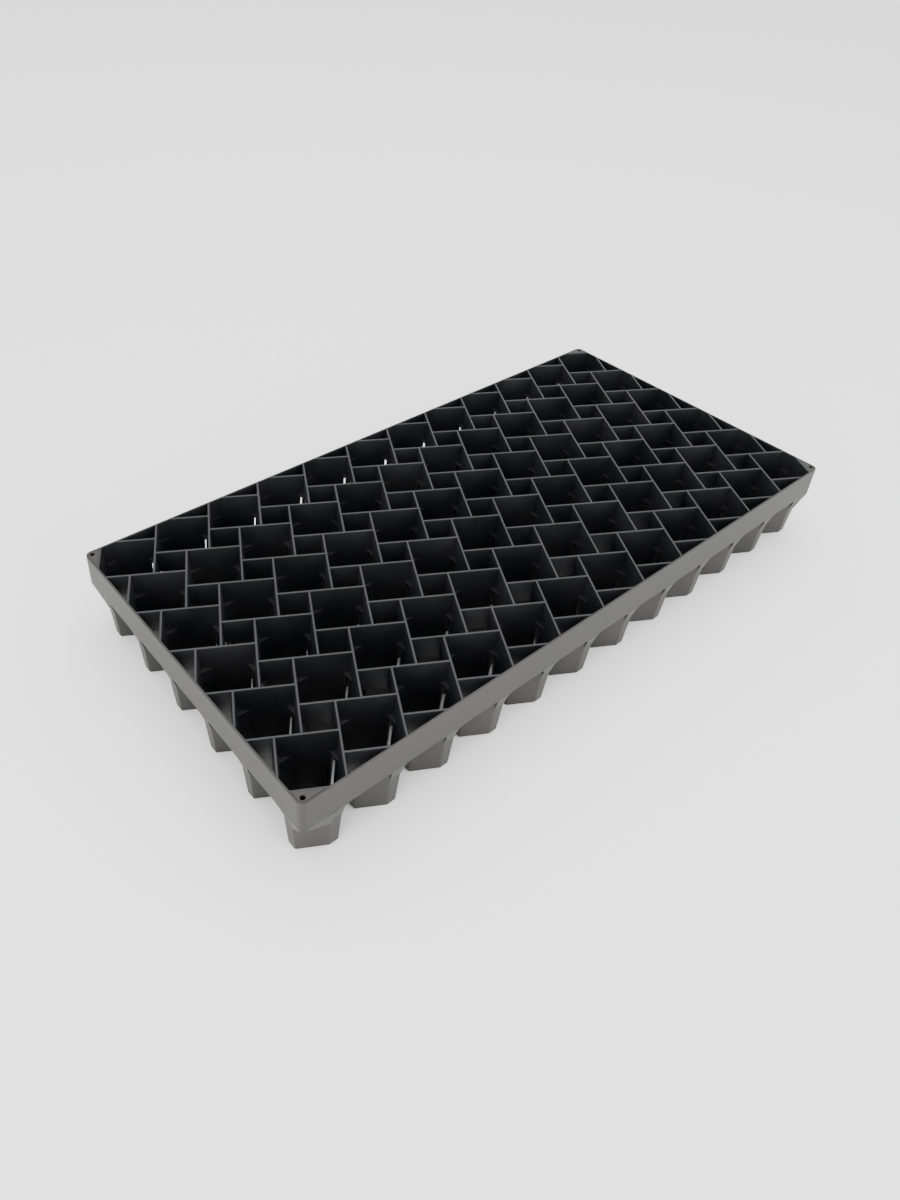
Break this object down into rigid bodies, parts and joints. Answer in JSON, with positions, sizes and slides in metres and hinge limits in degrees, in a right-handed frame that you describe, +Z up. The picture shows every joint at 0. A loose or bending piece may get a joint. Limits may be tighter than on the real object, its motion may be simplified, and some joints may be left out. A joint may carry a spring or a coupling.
{
  "type": "plug tray",
  "caption": "Rectangular nursery plug tray with tapered square cells turned in a lattice, air slots, open drains, a plain skirt and drilled corner gussets.",
  "frame": {"origin": "centre of the tray's box, on the surface that the cell feet stand on", "axes": "+X along the tray's long side, +Y across it, +Z up through the cell mouths"},
  "size_m": [0.54, 0.27, 0.0635],
  "materials": {
    "tray_plastic": "injection moulded polypropylene, near black, low satin sheen with a faint moulded grain"
  },
  "bodies": {
    "root": {"cell_floors_01": "tray_plastic", "cell_floors_02": "tray_plastic", "cell_floors_03": "tray_plastic", "cell_floors_04": "tray_plastic", "cell_floors_05": "tray_plastic", "cell_floors_06": "tray_plastic", "cell_floors_07": "tray_plastic", "cell_floors_08": "tray_plastic", "cell_floors_09": "tray_plastic", "cell_floors_10": "tray_plastic", "cell_floors_11": "tray_plastic", "cell_floors_12": "tray_plastic", "cell_walls_01": "tray_plastic", "cell_walls_02": "tray_plastic", "cell_walls_03": "tray_plastic", "cell_walls_04": "tray_plastic", "cell_walls_05": "tray_plastic", "cell_walls_06": "tray_plastic", "cell_walls_07": "tray_plastic", "cell_walls_08": "tray_plastic", "cell_walls_09": "tray_plastic", "cell_walls_10": "tray_plastic", "cell_walls_11": "tray_plastic", "cell_walls_12": "tray_plastic", "gusset_back_left": "tray_plastic", "gusset_back_right": "tray_plastic", "gusset_front_left": "tray_plastic", "gusset_front_right": "tray_plastic", "ribs_across_01": "tray_plastic", "ribs_across_02": "tray_plastic", "ribs_across_03": "tray_plastic", "ribs_across_04": "tray_plastic", "ribs_across_05": "tray_plastic", "ribs_across_06": "tray_plastic", "ribs_across_07": "tray_plastic", "ribs_across_08": "tray_plastic", "ribs_across_09": "tray_plastic", "ribs_across_10": "tray_plastic", "ribs_across_11": "tray_plastic", "ribs_across_12": "tray_plastic", "ribs_across_13": "tray_plastic", "ribs_along_01": "tray_plastic", "ribs_along_02": "tray_plastic", "ribs_along_03": "tray_plastic", "ribs_along_04": "tray_plastic", "ribs_along_05": "tray_plastic", "ribs_along_06": "tray_plastic", "ribs_along_07": "tray_plastic", "skirt_back": "tray_plastic", "skirt_corner_back_left": "tray_plastic", "skirt_corner_back_right": "tray_plastic", "skirt_corner_front_left": "tray_plastic", "skirt_corner_front_right": "tray_plastic", "skirt_front": "tray_plastic", "skirt_left": "tray_plastic", "skirt_right": "tray_plastic"}
  },
  "joints": []
}
